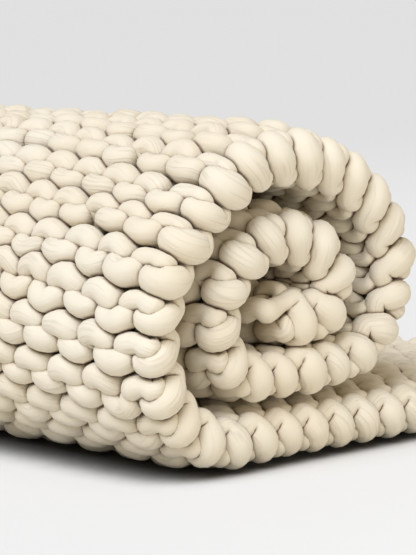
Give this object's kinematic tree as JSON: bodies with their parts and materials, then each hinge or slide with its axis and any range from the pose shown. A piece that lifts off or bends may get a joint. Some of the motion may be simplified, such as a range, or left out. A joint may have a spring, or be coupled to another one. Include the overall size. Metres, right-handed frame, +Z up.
{
  "type": "rolled knitted weighted blanket",
  "caption": "Chunky garter-stitch weighted blanket of thick stuffed cream tube yarn, loosely rolled up and lying on its own loose tail.",
  "frame": {"origin": "centre of the rolled blanket's bounding box in X and Y, at the level of the surface that it lies on", "axes": "+X across the roll towards the loose tail, +Y along the roll, +Z up"},
  "size_m": [0.6332, 1.22, 0.3286],
  "materials": {
    "cream_jersey": "matt cream cotton jersey over a soft stuffed tube, with fine lengthwise wrinkles and pinched creases where loops cross"
  },
  "bodies": {
    "root": {"knitted_cloth": "cream_jersey"}
  },
  "joints": []
}
